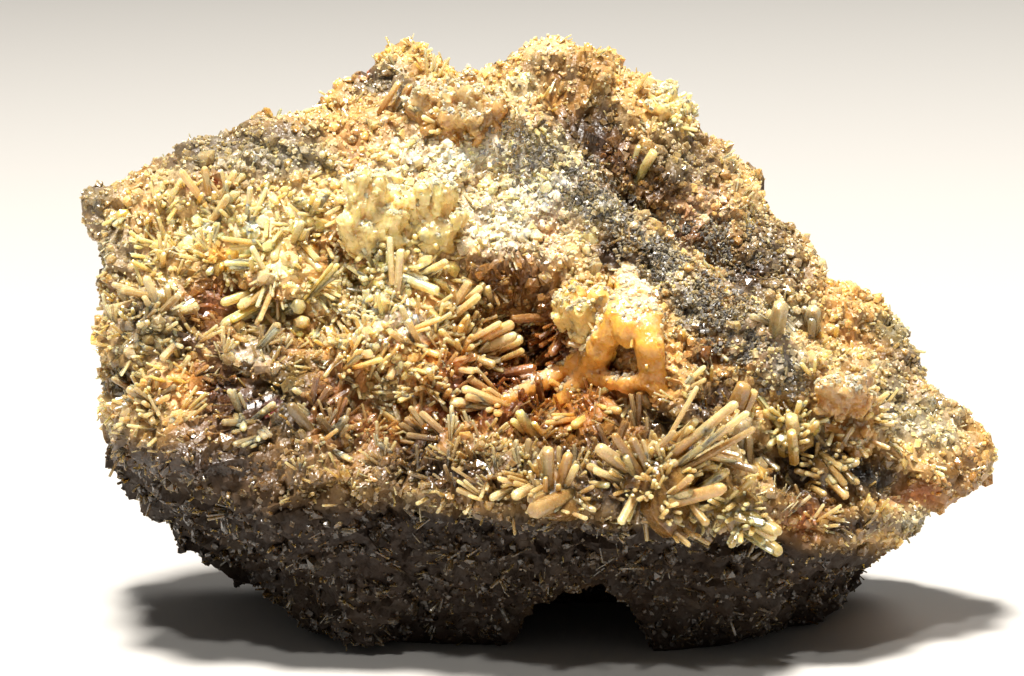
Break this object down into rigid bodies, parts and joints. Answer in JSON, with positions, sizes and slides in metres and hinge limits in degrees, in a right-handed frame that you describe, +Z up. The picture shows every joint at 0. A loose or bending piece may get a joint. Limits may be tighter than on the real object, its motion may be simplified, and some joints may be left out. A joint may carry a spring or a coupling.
{
  "type": "mimetite specimen",
  "caption": "Broken block of iron-stained ore with a vuggy front, overgrown with yellow to orange prismatic mimetite crystals, standing on a flat base.",
  "frame": {"origin": "on the surface the specimen stands on, below the middle of its outline", "axes": "+X along the length, to the right as seen from the crystal-covered front; the front looks towards -Y; +Z up"},
  "size_m": [0.074, 0.0468, 0.0478],
  "materials": {
    "matrix_rock": "rough broken rock with a druse of small crystals",
    "massive_mimetite": "waxy, slightly translucent",
    "vug_mimetite": "resinous, in shadow",
    "mimetite_crystals": "resinous, translucent"
  },
  "bodies": {
    "root": {"matrix": "matrix_rock", "mimetite_arch": "massive_mimetite", "vug_crust": "vug_mimetite", "sheaf_of_rods": "mimetite_crystals", "bright_fan": "mimetite_crystals", "brow_spray": "mimetite_crystals", "right_brow_spray": "mimetite_crystals", "yellow_green_rods": "mimetite_crystals", "fat_barrel": "mimetite_crystals", "orange_blocks": "mimetite_crystals", "yellow_blocks": "mimetite_crystals", "vug_lip_rods": "mimetite_crystals", "blade_fan": "mimetite_crystals", "yellow_mass": "mimetite_crystals", "cream_rods": "mimetite_crystals", "top_blocks": "mimetite_crystals", "left_blades": "mimetite_crystals", "grey_green_prisms": "mimetite_crystals", "left_end_rods": "mimetite_crystals", "crown_crystals": "mimetite_crystals", "lower_right_rods": "mimetite_crystals"}
  },
  "joints": []
}
